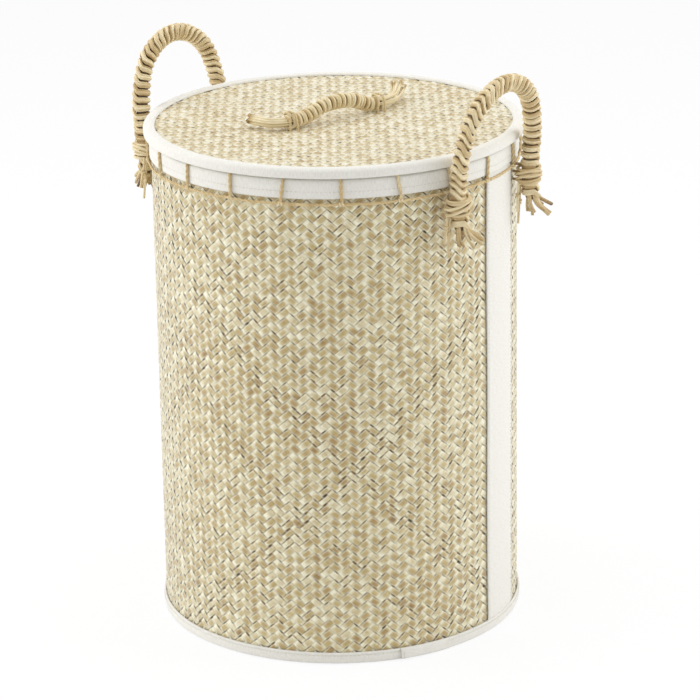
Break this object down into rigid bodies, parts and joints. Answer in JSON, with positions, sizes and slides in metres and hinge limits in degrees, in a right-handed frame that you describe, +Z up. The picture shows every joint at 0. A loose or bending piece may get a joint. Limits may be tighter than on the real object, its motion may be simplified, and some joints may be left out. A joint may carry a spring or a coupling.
{
  "type": "laundry basket",
  "caption": "Tall round woven laundry basket with a canvas-bound rim and base, a lift-off woven lid and rope handles.",
  "frame": {"origin": "on the floor at the centre of the basket's base", "axes": "+Z up the drum, +X out through the right handle, +Y along that handle's spread"},
  "size_m": [0.4298, 0.389, 0.5947],
  "materials": {
    "seagrass": "matt woven grass",
    "canvas": "matt cotton canvas",
    "cane": "plain cane",
    "twine": "matt twisted twine",
    "rope": "matt wound rope"
  },
  "bodies": {
    "basket": {"wall_mat": "seagrass", "base_mat": "seagrass", "base_binding": "canvas", "rim_hoop": "cane", "rim_binding": "canvas", "rim_lacing_run": "twine", "rim_lacing_stitches": "twine", "wall_seam_tape": "canvas", "wall_seam_backing": "canvas", "handle_hinge_cords": "twine", "handle_tails": "rope", "handle_lashings": "twine"},
    "lid": {"lid_mat": "seagrass", "lid_hoop": "cane", "lid_binding": "canvas", "lid_handle_core": "rope", "lid_handle_wrap": "rope", "lid_handle_ties": "twine"},
    "right_handle": {"right_handle_core": "rope", "right_handle_wrap": "rope"},
    "left_handle": {"left_handle_core": "rope", "left_handle_wrap": "rope"}
  },
  "joints": [
    {"name": "lid_lift", "type": "slide", "parent": "basket", "child": "lid", "axis": [0, 0, 1], "range_m": [0, 0.26]},
    {"name": "right_handle_swing", "type": "hinge", "parent": "basket", "child": "right_handle", "pos_m": [0.19443, 0, 0.5], "axis": [0, 1, 0], "range_deg": [0, 75]},
    {"name": "left_handle_swing", "type": "hinge", "parent": "basket", "child": "left_handle", "pos_m": [-0.19443, 0, 0.5], "axis": [0, -1, 0], "range_deg": [0, 75]}
  ]
}
